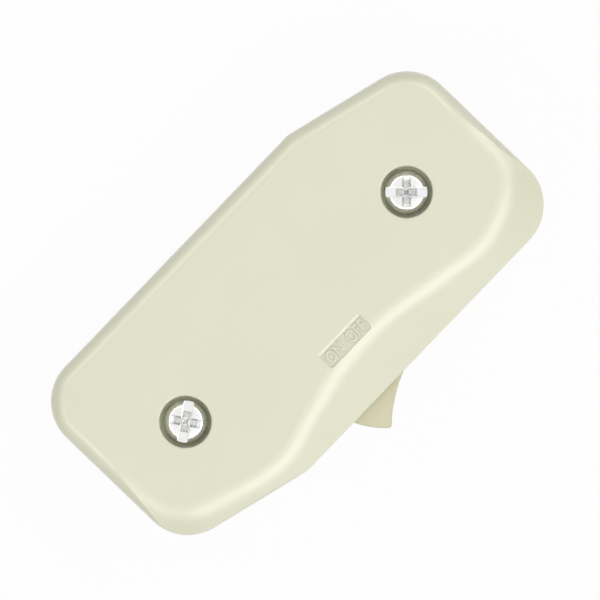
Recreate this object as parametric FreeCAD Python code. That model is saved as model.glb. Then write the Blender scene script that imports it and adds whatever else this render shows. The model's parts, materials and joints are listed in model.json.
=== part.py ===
import FreeCAD
import Part
import math
import os

# Inline cord switch in millimetres. It lies on its front cover with the screw heads up (+Z).
# The long axis is X and the rocker comes out of the -Y side. The origin is the middle of the
# front cover's flat face. Every piece is drawn in its rest place, with the rocker's -X end up.

Vector = FreeCAD.Vector
UP = Vector(0, 0, 1)

# Case
body_length = 63.5
body_width = 30.5
cover_height = 9.0
corner_radius = 6.2
bend_radius = 3.0
taper_start = 14.15
taper_angle = 14.8
edge_radius = 2.0
wall = 2.0
face_wall = 2.0
parting_chamfer = 0.2

# Rolled edge on the rocker's side, which dips to a thumb scoop beside the rocker
roll_slope = 27.0
roll_rounding = 6.0
roll_lift = 0.01
roll_reach = 8.0
scoop_depth = 6.3
shelf_depth = 5.6
# Its ridge: distances from the -X end and the side, then X and from the side, then from the +X end
ridge_left = ((0.75, 15.3), (1.1, 11.9), (1.5, 8.5), (2.1, 5.25), (4.2, 3.1), (6.6, 2.7), (10.3, 2.4))
ridge_middle = ((-17.3, 2.4), (-14.6, 2.95), (-11.0, 3.9), (-7.0, 4.9), (-2.0, 5.95))
ridge_dip = 3.0
ridge_beyond = ((8.0, 5.95), (12.0, 5.2), (16.5, 4.4), (20.6, 3.85))
ridge_right = ((7.0, 4.75), (2.0, 8.5), (1.55, 12.2), (1.15, 16.2), (0.75, 19.9))

# Sunken panel on the rear face
panel_length = 7.2
panel_width = 2.6
panel_depth = 0.25
panel_corner = 0.43
panel_x = 0.7
panel_y = -7.4

# Cover screws and nuts
screw_spacing = 39.3
screw_offset_x = -0.45
screw_offset_y = -0.2
screw_diameter = 2.8
screw_head_diameter = 5.6
screw_head_height = 2.1
screw_flat_diameter = 4.0
screw_head_rim = 0.5
screw_shoulder_inset = 0.2
screw_shoulder_drop = 0.6
screw_recess_depth = 3.2
recess_rounding = 0.25
slot_width = 1.1
slot_depth = 0.7
cross_length = 3.8
cross_width = 0.9
cross_depth = 1.3
screw_turns = (-46.0, 34.0)
nut_flats = 6.35
nut_height = 2.4
nut_pocket_depth = 3.4
screw_clearance = 0.2
head_clearance = 0.4
thread_clearance = 0.02
nut_clearance = 0.08
post_diameter = 9.0

# Cord inlets and cord grips
inlet_width = 8.4
inlet_height = 4.6
grip_gap = 3.4
grip_thickness = 1.2
grip_setback = 2.2
inlet_overrun = 1.1

# Rocker and its pivot
pivot_x = 4.4
pivot_setback = 4.5
rocker_radius = 11.2
rocker_thickness = 8.0
rocker_tilt = 13.0
dish_radius = 18.0
dish_distance = 4.0
rocker_wall = 1.8
tip_rounding = 0.35
hub_diameter = 6.4
trunnion_diameter = 3.2
trunnion_length = 2.2
trunnion_end_gap = 0.2
pivot_clearance = 0.05
rocker_clearance = 0.3

# Plunger and its spring
plunger_diameter = 2.5
plunger_reach = 6.2
plunger_length = 4.4
plunger_clearance = 0.05
plunger_stem_diameter = 1.2
plunger_stem_length = 1.2
tube_wall = 1.05
tube_reach = 4.6
bore_depth = 1.8
spring_diameter = 2.3
spring_wire = 0.3
spring_half_turns = 9
spring_end_gap = 0.02

# Contacts and terminals
strip_thickness = 0.8
strip_height = 6.0
strip_bend = 1.2
seesaw_width = 5.0
seesaw_length = 11.0
seesaw_tilt = 8.0
wing_angle = 9.0
fulcrum_radius = 0.8
fulcrum_distance = 1.4
fulcrum_clearance = 0.05
plunger_gap = 0.08
rivet_diameter = 3.0
rivet_height = 0.7
rivet_shank = 1.6
contact_offset = 4.3
contact_gap = 0.06
load_strip_overhang = 1.9
line_strip_inset = 1.7
tab_length = 7.0
tab_width = 7.2
tab_wall_gap = 0.45
terminal_head_gap = 0.2
terminal_screw_diameter = 2.9
terminal_head_diameter = 5.2
terminal_head_height = 1.6
terminal_head_rounding = 0.5
terminal_screw_length = 4.0
terminal_slot_width = 0.9
terminal_slot_depth = 0.7
pedestal_clearance = 0.2
tab_post_gap = 0.9
rib_thickness = 1.5
rib_gap = 0.05
rib_front = 0.8
rib_back = 3.2
hold_down_gap = 0.1

# Places that follow from the sizes above
parting = cover_height
total_height = 2 * cover_height
pivot = Vector(pivot_x, pivot_setback - body_width / 2, 0)
screw_places = (
    Vector(screw_offset_x + screw_spacing / 2, screw_offset_y, 0),
    Vector(screw_offset_x - screw_spacing / 2, screw_offset_y, 0),
)
screw_seat = total_height - screw_recess_depth
strip_base = parting - strip_height / 2
strip_top = parting + strip_height / 2
tab_top = strip_base
tab_base = tab_top - strip_thickness
rocker_low = parting - rocker_thickness / 2
rocker_high = parting + rocker_thickness / 2
seesaw_base = parting - seesaw_width / 2
fulcrum = Vector(pivot_x, pivot.y + plunger_reach + plunger_gap + fulcrum_distance, 0)
post_radius = post_diameter / 2


def box(low, high):
    """Block between two opposite corners."""
    return Part.makeBox(high.x - low.x, high.y - low.y, high.z - low.z, low)


def rod(diameter, low_z, high_z, place):
    """Upright cylinder over a place in plan."""
    return Part.makeCylinder(diameter / 2, high_z - low_z, Vector(place.x, place.y, low_z))


def direction(angle):
    """Unit vector in plan at an angle from +X."""
    return Vector(math.cos(math.radians(angle)), math.sin(math.radians(angle)), 0)


def turned(shape, centre, angle):
    """Copy of a shape turned about the upright axis through a place in plan."""
    copy = shape.copy()
    copy.rotate(centre, UP, angle)
    return copy


def case_sides(inset):
    """The six sides of the case as pairs of outward angle and distance from the middle."""
    tilt = math.radians(taper_angle)
    taper = taper_start * math.sin(tilt) + body_width / 2 * math.cos(tilt)
    return [
        (0.0, body_length / 2 - inset),
        (90.0 - taper_angle, taper - inset),
        (90.0, body_width / 2 - inset),
        (180.0, body_length / 2 - inset),
        (270.0 - taper_angle, taper - inset),
        (270.0, body_width / 2 - inset),
    ]


def side_corner(side, following):
    """Point where two neighbouring sides meet."""
    one = direction(side[0])
    two = direction(following[0])
    scale = one.x * two.y - one.y * two.x
    x = (side[1] * two.y - following[1] * one.y) / scale
    y = (one.x * following[1] - two.x * side[1]) / scale
    return Vector(x, y, 0)


def case_outline(inset, z):
    """Closed outline of the case at a height: a rectangle with two opposite corners tapered."""
    sides = case_sides(inset)
    arcs = []
    for index, side in enumerate(sides):
        following = sides[(index + 1) % len(sides)]
        turn = (following[0] - side[0]) % 360.0
        radius = corner_radius - inset if turn > 2 * taper_angle else bend_radius
        reach = radius * math.tan(math.radians(turn / 2))
        corner = side_corner(side, following) + Vector(0, 0, z)
        first = corner - direction(side[0] + 90) * reach
        last = corner + direction(following[0] + 90) * reach
        middle = first - direction(side[0]) * radius + direction(side[0] + turn / 2) * radius
        arcs.append((first, middle, last))
    edges = []
    for index, (first, middle, last) in enumerate(arcs):
        edges.append(Part.LineSegment(arcs[index - 1][2], first).toShape())
        edges.append(Part.Arc(first, middle, last).toShape())
    return Part.Wire(edges)


def case_block(inset, low_z, high_z):
    """Prism over the case outline."""
    return Part.Face(case_outline(inset, low_z)).extrude(Vector(0, 0, high_z - low_z))


def flat_edges(shape, z):
    """Edges of a shape that lie in a level plane."""
    found = []
    for edge in shape.Edges:
        if abs(edge.BoundBox.ZMin - z) < 1e-4 and abs(edge.BoundBox.ZMax - z) < 1e-4:
            found.append(edge)
    return found


def side_y(x):
    """Where the rocker's side of the case lies at a place along it, before the corners are rounded."""
    tapered = case_sides(0)[4]
    outward = direction(tapered[0])
    return max(-body_width / 2, (tapered[1] - x * outward.x) / outward.y)


def ridge_path():
    """Line in plan along the top of the rolled edge, from one end of the case to the other."""
    half = body_length / 2
    middle = ridge_middle + ((ridge_dip, scoop_depth),) + ridge_beyond
    places = [(end - half, setback) for end, setback in ridge_left]
    places += [(x, setback) for x, setback in middle]
    places += [(half - end, setback) for end, setback in ridge_right]
    line = Part.BSplineCurve()
    line.interpolate([Vector(x, side_y(x) + setback, 0) for x, setback in places])
    return line


def roll_cutter():
    """Bar along the ridge that rolls the rear cover's edge away on the rocker's side."""
    slope = math.radians(roll_slope)
    top = total_height + roll_lift
    path = ridge_path()
    start = path.value(path.FirstParameter)
    along = path.tangent(path.FirstParameter)[0]
    outward = Vector(along.y, -along.x, 0)
    tangent = roll_rounding * math.tan(slope / 2)
    centre = start - outward * tangent + UP * (top - roll_rounding)
    crest = centre + UP * roll_rounding
    bulge = centre + (outward * math.sin(slope / 2) + UP * math.cos(slope / 2)) * roll_rounding
    foot = centre + (outward * math.sin(slope) + UP * math.cos(slope)) * roll_rounding
    far = foot + (outward * math.cos(slope) - UP * math.sin(slope)) * roll_reach
    rise = UP * cover_height
    profile = Part.Wire(
        [
            Part.Arc(crest, bulge, foot).toShape(),
            Part.makePolygon([foot, far, far + rise + UP * (crest.z - far.z), crest + rise, crest]),
        ]
    )
    return Part.Wire([path.toShape()]).makePipeShell([profile], True, False)


def mirrored(shape):
    """Copy of a rear-cover shape on the other side of the parting plane."""
    return shape.mirror(Vector(0, 0, parting), UP)


def cover_shell():
    """Rear cover's outside, hollowed, with its screw posts, rocker slot, inlets and grips."""
    outside = case_block(0, parting, total_height)
    outside = outside.makeFillet(edge_radius, flat_edges(outside, total_height))
    outside = outside.makeChamfer(parting_chamfer, flat_edges(outside, parting))
    outside = outside.cut(roll_cutter())

    rocker_roof = rocker_high + rocker_clearance
    hollow = case_block(wall, parting, total_height - face_wall)
    shelf_edge = shelf_depth - body_width / 2
    shelf = box(
        Vector(-body_length / 2, -body_width / 2, rocker_roof),
        Vector(body_length / 2, shelf_edge, total_height),
    )
    shell = outside.cut(hollow.cut(shelf))

    swept = rod(2 * (rocker_radius + rocker_clearance), parting, rocker_roof, pivot)
    mouth = box(
        Vector(pivot.x - body_length, -body_width, parting),
        Vector(pivot.x + body_length, shelf_edge, total_height),
    )
    shell = shell.cut(swept.common(mouth))

    for place in screw_places:
        post = rod(post_diameter, parting, total_height - face_wall / 2, place)
        shell = shell.fuse(post)
    for side in (1, -1):
        shell = shell.fuse(cord_grip(side))
        shell = shell.cut(inlet_cutter(side))
    socket = rod(
        trunnion_diameter + 2 * pivot_clearance,
        parting,
        rocker_high + trunnion_length + trunnion_end_gap,
        pivot,
    )
    return shell.cut(socket)


def inlet_cutter(side):
    """Cord slot through one end wall, above the parting plane."""
    outer = side * body_length
    inner = side * (body_length / 2 - wall - inlet_overrun)
    return box(
        Vector(min(outer, inner), -inlet_width / 2, parting),
        Vector(max(outer, inner), inlet_width / 2, parting + inlet_height / 2),
    )


def cord_grip(side):
    """Low wall that pinches the cord just inside one end."""
    near = side * (body_length / 2 - wall - grip_setback)
    far = near - side * grip_thickness
    return box(
        Vector(min(near, far), -inlet_width / 2, parting + grip_gap / 2),
        Vector(max(near, far), inlet_width / 2, total_height - face_wall / 2),
    )


def rear_cover():
    """Upper cover with screw recesses, a sunken panel and hold-down ribs."""
    cover = cover_shell()
    recess = screw_head_diameter + 2 * head_clearance
    for place in screw_places:
        cover = cover.cut(rod(recess, screw_seat, total_height, place))
        rim = [e for e in flat_edges(cover, total_height) if abs(e.BoundBox.XLength - recess) < 1e-3]
        cover = cover.makeFillet(recess_rounding, rim)
        hole = screw_diameter + 2 * screw_clearance
        cover = cover.cut(rod(hole, parting, total_height, place))
    panel = Part.makeBox(
        panel_length,
        panel_width,
        2 * panel_depth,
        Vector(panel_x - panel_length / 2, panel_y - panel_width / 2, total_height - panel_depth),
    )
    panel = panel.makeFillet(panel_corner, [e for e in panel.Edges if e.BoundBox.ZLength > panel_depth])
    cover = cover.cut(panel)
    for middle in (load_tab_centre().x + tab_length / 2, line_strip_points()[0].x + rivet_diameter):
        rib = box(
            Vector(middle - rib_thickness / 2, fulcrum.y - rib_front, strip_top + hold_down_gap),
            Vector(middle + rib_thickness / 2, fulcrum.y + rib_back, total_height - face_wall / 2),
        )
        cover = cover.fuse(rib)
    return cover.removeSplitter()


def front_cover():
    """Lower cover with nut pockets, terminal pedestals and the wall behind the contacts."""
    cover = mirrored(cover_shell())
    low = face_wall / 2
    back = fulcrum.y + fulcrum_radius + fulcrum_clearance + strip_thickness + rib_gap
    cover = cover.fuse(
        box(
            Vector(fulcrum.x - seesaw_length / 2, back, low),
            Vector(fulcrum.x + seesaw_length / 2 + rib_thickness, back + rib_thickness, strip_top),
        )
    )
    for centre, width in ((load_tab_centre(), tab_width), (line_tab_centre(), line_tab_width())):
        half = Vector(tab_length / 2, width / 2, 0)
        cover = cover.fuse(box(centre - half + Vector(0, 0, low), centre + half + Vector(0, 0, tab_base)))
        bore = terminal_screw_diameter + 2 * pedestal_clearance
        foot = tab_top - terminal_screw_length - pedestal_clearance
        cover = cover.cut(rod(bore, foot, tab_base, binding_place(centre, width)))
    for place in screw_places:
        hole = screw_diameter + 2 * screw_clearance
        cover = cover.cut(rod(hole, 0, parting, place))
        cover = cover.cut(hexagon(nut_flats + 2 * nut_clearance, 0, nut_pocket_depth, place))
    return cover.removeSplitter()


def hexagon(flats, low_z, high_z, place):
    """Hexagonal prism with a flat facing each end of the case's width."""
    corners = []
    for step in range(7):
        corners.append(place + direction(60 * step) * (flats / math.sqrt(3)) + Vector(0, 0, low_z))
    return Part.Face(Part.makePolygon(corners)).extrude(Vector(0, 0, high_z - low_z))


def rocker_profile():
    """Rocker's outline in plan before it tilts: a dished top between two round ends."""
    dish_centre = dish_distance + dish_radius
    tip_y = (dish_centre ** 2 + rocker_radius ** 2 - dish_radius ** 2) / (2 * dish_centre)
    tip_x = math.sqrt(rocker_radius ** 2 - tip_y ** 2)
    right_tip = pivot + Vector(tip_x, -tip_y, 0)
    left_tip = pivot + Vector(-tip_x, -tip_y, 0)
    right_end = pivot + Vector(rocker_radius, 0, 0)
    left_end = pivot + Vector(-rocker_radius, 0, 0)
    tip_angle = math.degrees(math.atan2(-tip_y, tip_x))
    right_middle = pivot + direction(tip_angle / 2) * rocker_radius
    left_middle = pivot + direction(180 - tip_angle / 2) * rocker_radius
    return Part.Wire(
        [
            Part.Arc(left_tip, pivot + Vector(0, -dish_distance, 0), right_tip).toShape(),
            Part.Arc(right_tip, right_middle, right_end).toShape(),
            Part.LineSegment(right_end, left_end).toShape(),
            Part.Arc(left_end, left_middle, left_tip).toShape(),
        ]
    )


def rocker():
    """Rocker with round skirts, a hub on two trunnions and the plunger's tube, at its rest tilt."""
    low = Vector(0, 0, rocker_low)
    raised = Vector(0, 0, rocker_thickness)
    block = Part.Face(rocker_profile()).extrude(raised)
    block.translate(low)
    tips = [e for e in block.Edges if e.BoundBox.ZLength > rocker_thickness / 2 and e.BoundBox.YMin < pivot.y - 1]
    block = block.makeFillet(tip_rounding, tips)

    inside_low = rocker_low + rocker_wall
    inside_high = rocker_high - rocker_wall
    inside = rod(2 * (rocker_radius - rocker_wall), inside_low, inside_high, pivot)
    dish_middle = pivot + Vector(0, -dish_distance - dish_radius, 0)
    under_dish = rod(2 * (dish_radius + rocker_wall), inside_low, inside_high, dish_middle)
    body = block.cut(inside.cut(under_dish))

    body = body.fuse(rod(hub_diameter, rocker_low, rocker_high, pivot))
    body = body.fuse(
        rod(trunnion_diameter, rocker_low - trunnion_length, rocker_high + trunnion_length, pivot)
    )
    inward = Vector(0, 1, 0)
    middle = pivot + Vector(0, 0, parting)
    bore_radius = plunger_diameter / 2 + plunger_clearance
    body = body.fuse(Part.makeCylinder(bore_radius + tube_wall, tube_reach, middle, inward))
    bore = Part.makeCylinder(bore_radius, bore_depth + 2 * tube_reach, middle - inward * bore_depth, inward)
    return turned(body.cut(bore).removeSplitter(), pivot, rocker_tilt)


def plunger():
    """Round-nosed plunger with a stem that keeps its spring in line."""
    inward = Vector(0, 1, 0)
    middle = pivot + Vector(0, 0, parting)
    radius = plunger_diameter / 2
    back = middle + inward * (plunger_reach - plunger_length)
    body = Part.makeCylinder(radius, plunger_length - radius, back, inward)
    nose = Part.makeSphere(radius, middle + inward * (plunger_reach - radius))
    stem = Part.makeCylinder(
        plunger_stem_diameter / 2, plunger_stem_length, back - inward * plunger_stem_length, inward
    )
    return turned(body.fuse(nose).fuse(stem).removeSplitter(), pivot, rocker_tilt)


def plunger_spring():
    """Coil spring between the bottom of the rocker's bore and the plunger's back."""
    start = -bore_depth + spring_end_gap + spring_wire / 2
    length = plunger_reach - plunger_length - spring_end_gap - spring_wire / 2 - start
    radius = (spring_diameter - spring_wire) / 2
    rise = length / spring_half_turns
    lean = math.degrees(math.asin(rise / (2 * radius)))
    coil = None
    for index in range(spring_half_turns):
        turn = Part.makeTorus(radius, spring_wire / 2, Vector(0, 0, 0), UP, -180, 180, 180)
        turn.rotate(Vector(0, 0, 0), Vector(0, 1, 0), lean)
        turn.rotate(Vector(0, 0, 0), UP, 180 * index)
        turn.translate(Vector(0, 0, rise * (index + 0.5)))
        coil = turn if coil is None else coil.fuse(turn)
    coil.rotate(Vector(0, 0, 0), Vector(1, 0, 0), -90)
    coil.translate(pivot + Vector(0, start, parting))
    return turned(coil, pivot, rocker_tilt)


def wing_point(offset, depth):
    """Point of the flat-lying seesaw at an offset along it and a depth behind its rocker-side face."""
    rise = abs(offset) * math.tan(math.radians(wing_angle))
    return fulcrum + Vector(offset, depth - fulcrum_distance - rise, 0)


def seesaw_contact():
    """Shallow V of sprung copper that rocks in the load terminal's cradle, at its rest tilt."""
    half = seesaw_length / 2
    corners = [
        wing_point(-half, 0),
        wing_point(0, 0),
        wing_point(half, 0),
        wing_point(half, strip_thickness),
        wing_point(0, strip_thickness),
        wing_point(-half, strip_thickness),
    ]
    corners.append(corners[0])
    blade = Part.Face(Part.makePolygon(corners)).extrude(Vector(0, 0, seesaw_width))
    blade.translate(Vector(0, 0, seesaw_base))
    blade = blade.fuse(rod(2 * fulcrum_radius, seesaw_base, seesaw_base + seesaw_width, fulcrum))
    hole = rivet_shaft(strip_thickness + rivet_height, -rivet_height / 2)
    return turned(blade.cut(hole).removeSplitter(), fulcrum, -seesaw_tilt)


def rivet_shaft(length, depth):
    """Rivet shank square to the seesaw's +X wing, from a depth behind its rocker-side face."""
    inward = Vector(math.sin(math.radians(wing_angle)), math.cos(math.radians(wing_angle)), 0)
    foot = wing_point(contact_offset, 0) + Vector(0, 0, parting) + inward * depth
    return Part.makeCylinder(rivet_shank / 2, length, foot, inward)


def moving_contact():
    """Silver rivet in the seesaw's +X wing, with its face toward the fixed contact."""
    inward = Vector(math.sin(math.radians(wing_angle)), math.cos(math.radians(wing_angle)), 0)
    thickness = strip_thickness * math.cos(math.radians(wing_angle))
    shank = rivet_shaft(thickness, 0)
    foot = wing_point(contact_offset, 0) + Vector(0, 0, parting) + inward * thickness
    head = Part.makeCylinder(rivet_diameter / 2, rivet_height, foot, inward)
    return turned(shank.fuse(head).removeSplitter(), fulcrum, -seesaw_tilt)


def contact_face():
    """Place and outward direction of the moving contact's face when the switch is closed."""
    inward = Vector(math.sin(math.radians(wing_angle)), math.cos(math.radians(wing_angle)), 0)
    thickness = strip_thickness * math.cos(math.radians(wing_angle))
    face = wing_point(contact_offset, 0) + inward * (thickness + rivet_height)
    spin = FreeCAD.Rotation(UP, seesaw_tilt)
    return fulcrum + spin.multVec(face - fulcrum), spin.multVec(inward)


def fixed_contact():
    """Silver rivet on the line terminal that the moving contact closes on."""
    face, inward = contact_face()
    foot = face + inward * contact_gap + Vector(0, 0, parting)
    head = Part.makeCylinder(rivet_diameter / 2, rivet_height, foot, inward)
    shank = Part.makeCylinder(rivet_shank / 2, rivet_height + strip_thickness, foot, inward)
    return head.fuse(shank).removeSplitter()


def strip(points):
    """Upright strip of sheet along a path in plan, with rounded bends."""
    path = [points[0]]
    edges = []
    for index in range(1, len(points) - 1):
        before = (points[index - 1] - points[index]).normalize()
        after = (points[index + 1] - points[index]).normalize()
        half_angle = before.getAngle(after) / 2
        reach = strip_bend / math.tan(half_angle)
        bisector = (before + after).normalize()
        first = points[index] + before * reach
        last = points[index] + after * reach
        middle = points[index] + bisector * (strip_bend / math.sin(half_angle) - strip_bend)
        edges.append(Part.LineSegment(path[-1], first).toShape())
        edges.append(Part.Arc(first, middle, last).toShape())
        path.append(last)
    edges.append(Part.LineSegment(path[-1], points[-1]).toShape())
    along = (points[1] - points[0]).normalize()
    across = Vector(-along.y, along.x, 0) * (strip_thickness / 2)
    rise = Vector(0, 0, strip_height)
    start = points[0]
    section = Part.makePolygon(
        [start - across, start + across, start + across + rise, start - across + rise, start - across]
    )
    ribbon = Part.Wire(edges).makePipeShell([section], True, False)
    ribbon.translate(Vector(0, 0, strip_base))
    return ribbon


def load_strip_points():
    """Path of the load terminal's strip in plan, from the cradle to its tab."""
    line = fulcrum.y + strip_thickness / 2
    return [
        Vector(fulcrum.x + load_strip_overhang, line, 0),
        Vector(load_tab_centre().x - tab_length / 2, line, 0),
    ]


def load_tab_centre():
    """Middle of the load terminal's screw tab, beside the -X screw post."""
    x = screw_places[1].x + post_radius + tab_post_gap + tab_length / 2
    return Vector(x, fulcrum.y + strip_thickness - tab_width / 2, 0)


def line_strip_points():
    """Path of the line terminal's strip in plan, round the +X screw post to its tab."""
    face, inward = contact_face()
    plate = face + inward * (contact_gap + rivet_height + strip_thickness / 2)
    along = Vector(inward.y, -inward.x, 0)
    post = screw_places[0]
    gap_line = post - pivot
    between = (gap_line.Length - post_radius + rocker_radius) / 2
    outward = Vector(gap_line.x, gap_line.y, 0).normalize()
    narrow = pivot + outward * between
    down = Vector(outward.y, -outward.x, 0)
    scale = along.x * down.y - along.y * down.x
    offset = narrow - plate
    run = (offset.x * down.y - offset.y * down.x) / scale
    bend = plate + along * run
    tab = line_tab_centre()
    level = tab.y + line_tab_width() / 2 - strip_thickness / 2
    turn = narrow + down * ((level - narrow.y) / down.y)
    return [
        plate - along * line_strip_inset,
        bend,
        turn,
        Vector(tab.x + tab_length / 2, level, 0),
    ]


def line_tab_centre():
    """Middle of the line terminal's screw tab, on the rocker's side of the +X screw post."""
    y = screw_places[0].y - post_radius - tab_post_gap - line_tab_width() / 2
    return Vector(screw_places[0].x + tab_length / 2 - rib_thickness, y, 0)


def line_tab_width():
    """Width of the line terminal's tab, which fills the room between the +X screw post and the side."""
    return screw_places[0].y - post_radius - tab_post_gap + body_width / 2 - wall - tab_wall_gap


def binding_place(centre, width):
    """Place of a binding screw on its tab, with its head just clear of the strip."""
    head_middle = strip_thickness + terminal_head_gap + terminal_head_diameter / 2
    return centre + Vector(0, width / 2 - head_middle, 0)


def terminal(points, centre, width):
    """Brass strip with a flat screw tab bent out from its lower edge."""
    half = Vector(tab_length / 2, width / 2, 0)
    tab = box(centre - half + Vector(0, 0, tab_base), centre + half + Vector(0, 0, tab_top))
    bore = terminal_screw_diameter + 2 * thread_clearance
    return strip(points).fuse(tab).cut(rod(bore, tab_base, tab_top, binding_place(centre, width)))


def load_terminal():
    """Terminal whose cradle carries the seesaw."""
    inner = 2 * (fulcrum_radius + fulcrum_clearance)
    ring = rod(inner + 2 * strip_thickness, strip_base, strip_top, fulcrum)
    front = box(
        Vector(fulcrum.x - inner * 2, fulcrum.y - inner * 2, strip_base),
        Vector(fulcrum.x + inner * 2, fulcrum.y, strip_top),
    )
    body = terminal(load_strip_points(), load_tab_centre(), tab_width).fuse(ring.cut(front))
    return body.cut(rod(inner, strip_base, strip_top, fulcrum)).removeSplitter()


def line_terminal():
    """Terminal that carries the fixed contact."""
    face, inward = contact_face()
    foot = face + inward * (contact_gap + rivet_height / 2) + Vector(0, 0, parting)
    hole = Part.makeCylinder(rivet_shank / 2, rivet_height + 2 * strip_thickness, foot, inward)
    body = terminal(line_strip_points(), line_tab_centre(), line_tab_width())
    return body.cut(hole).removeSplitter()


def terminal_screw(centre):
    """Slotted binding screw in a terminal's tab."""
    head = rod(terminal_head_diameter, tab_top, tab_top + terminal_head_height, centre)
    rim = flat_edges(head, tab_top + terminal_head_height)
    head = head.makeFillet(terminal_head_rounding, rim)
    shank = rod(terminal_screw_diameter, tab_top - terminal_screw_length, tab_top, centre)
    top = tab_top + terminal_head_height
    slot = box(
        centre + Vector(-terminal_head_diameter, -terminal_slot_width / 2, top - terminal_slot_depth),
        centre + Vector(terminal_head_diameter, terminal_slot_width / 2, top),
    )
    return head.fuse(shank).removeSplitter().cut(slot)


def cover_screw(place, turn):
    """Round-headed cover screw with a full slot and a deeper cross recess."""
    half_head = screw_head_diameter / 2
    half_flat = screw_flat_diameter / 2
    top = screw_seat + screw_head_height
    rim = screw_seat + screw_head_rim
    shoulder = Vector(half_head - screw_shoulder_inset, 0, top - screw_shoulder_drop)
    tip = nut_pocket_depth - nut_height
    half_shank = screw_diameter / 2
    profile = Part.Wire(
        [
            Part.makePolygon([Vector(0, 0, top), Vector(0, 0, tip), Vector(half_shank, 0, tip),
                              Vector(half_shank, 0, screw_seat), Vector(half_head, 0, screw_seat),
                              Vector(half_head, 0, rim)]),
            Part.Arc(Vector(half_head, 0, rim), shoulder, Vector(half_flat, 0, top)).toShape(),
            Part.LineSegment(Vector(half_flat, 0, top), Vector(0, 0, top)).toShape(),
        ]
    )
    screw = Part.Face(profile).revolve(Vector(0, 0, 0), UP, 360)
    slot = box(Vector(-half_head, -slot_width / 2, top - slot_depth), Vector(half_head, slot_width / 2, top))
    arm = box(
        Vector(-cross_length / 2, -cross_width / 2, top - cross_depth),
        Vector(cross_length / 2, cross_width / 2, top),
    )
    screw = screw.cut(slot).cut(arm).cut(turned(arm, Vector(0, 0, 0), 90))
    screw = turned(screw, Vector(0, 0, 0), turn)
    screw.translate(place)
    return screw


def cover_nut(place):
    """Hexagon nut pulled against the top of its pocket."""
    low = nut_pocket_depth - nut_height
    nut = hexagon(nut_flats, low, nut_pocket_depth, place)
    return nut.cut(rod(screw_diameter + 2 * thread_clearance, low, nut_pocket_depth, place))


def write(name, shape):
    """Writes one piece of the switch to its own file."""
    shape.exportStep(os.path.join("parts", name + ".step"))


os.makedirs("parts", exist_ok=True)
write("rear_cover", rear_cover())
write("front_cover", front_cover())
write("rocker", rocker())
write("plunger", plunger())
write("plunger_spring", plunger_spring())
write("seesaw_contact", seesaw_contact())
write("moving_contact", moving_contact())
write("fixed_contact", fixed_contact())
write("load_terminal", load_terminal())
write("line_terminal", line_terminal())
write("load_terminal_screw", terminal_screw(binding_place(load_tab_centre(), tab_width)))
write("line_terminal_screw", terminal_screw(binding_place(line_tab_centre(), line_tab_width())))
write("cover_screw_right", cover_screw(screw_places[0], screw_turns[0]))
write("cover_screw_left", cover_screw(screw_places[1], screw_turns[1]))
write("cover_nut_right", cover_nut(screw_places[0]))
write("cover_nut_left", cover_nut(screw_places[1]))
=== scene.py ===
"""Looks of an inline cord switch: two ivory covers, a rocker, plated screws and brass works."""

import json
import logging
import math
from dataclasses import dataclass, field
from enum import Enum
from typing import Any, Callable, Dict, List, Mapping, Optional, Sequence, Tuple, Union

import bpy
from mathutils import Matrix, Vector


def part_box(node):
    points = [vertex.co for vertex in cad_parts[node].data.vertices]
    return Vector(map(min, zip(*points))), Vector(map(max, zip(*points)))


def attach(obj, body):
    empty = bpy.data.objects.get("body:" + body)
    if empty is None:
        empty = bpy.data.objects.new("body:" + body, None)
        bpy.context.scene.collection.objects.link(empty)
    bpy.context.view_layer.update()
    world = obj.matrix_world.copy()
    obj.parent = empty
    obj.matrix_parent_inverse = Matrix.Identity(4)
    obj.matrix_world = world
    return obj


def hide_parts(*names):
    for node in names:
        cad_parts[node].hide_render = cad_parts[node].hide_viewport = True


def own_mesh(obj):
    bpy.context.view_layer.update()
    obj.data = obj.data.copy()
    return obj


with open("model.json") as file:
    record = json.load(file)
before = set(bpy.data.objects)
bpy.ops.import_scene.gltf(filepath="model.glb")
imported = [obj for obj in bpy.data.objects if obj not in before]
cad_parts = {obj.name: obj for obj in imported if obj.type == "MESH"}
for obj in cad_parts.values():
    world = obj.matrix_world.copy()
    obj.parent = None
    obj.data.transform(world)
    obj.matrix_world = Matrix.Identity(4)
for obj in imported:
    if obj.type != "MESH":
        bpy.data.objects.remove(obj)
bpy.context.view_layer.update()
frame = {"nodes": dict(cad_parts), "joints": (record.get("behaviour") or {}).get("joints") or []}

LOG = logging.getLogger("cord_switch")
Colour = Tuple[float, float, float]
MM = 0.001
MERGE_MM = 0.001
FLAT_DEGREES = 0.3
ORIGIN = (0.0, 0.0, 0.0)
WHITE = (1.0, 1.0, 1.0, 1.0)
MEAN = 0.5  # of a pattern from 0 to 1


class Body(Enum):
    """Bodies of the switch that new pieces ride on."""

    HOUSING = "housing"
    ROCKER = "rocker"


class Slot(Enum):
    """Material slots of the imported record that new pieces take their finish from."""

    COVER = "ivory_cover"
    ROCKER = "ivory_rocker"
    SPRING = "spring_steel"
    SCREW = "zinc_screw"


class Ray(Enum):
    """Kinds of light ray that the studio tells apart."""

    CAMERA = "Is Camera Ray"
    GLOSSY = "Is Glossy Ray"
    TRANSMISSION = "Is Transmission Ray"


class Cut(Enum):
    """Which side of a tool's surface a carving takes away."""

    INSIDE = "DIFFERENCE"
    OUTSIDE = "INTERSECT"


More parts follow.
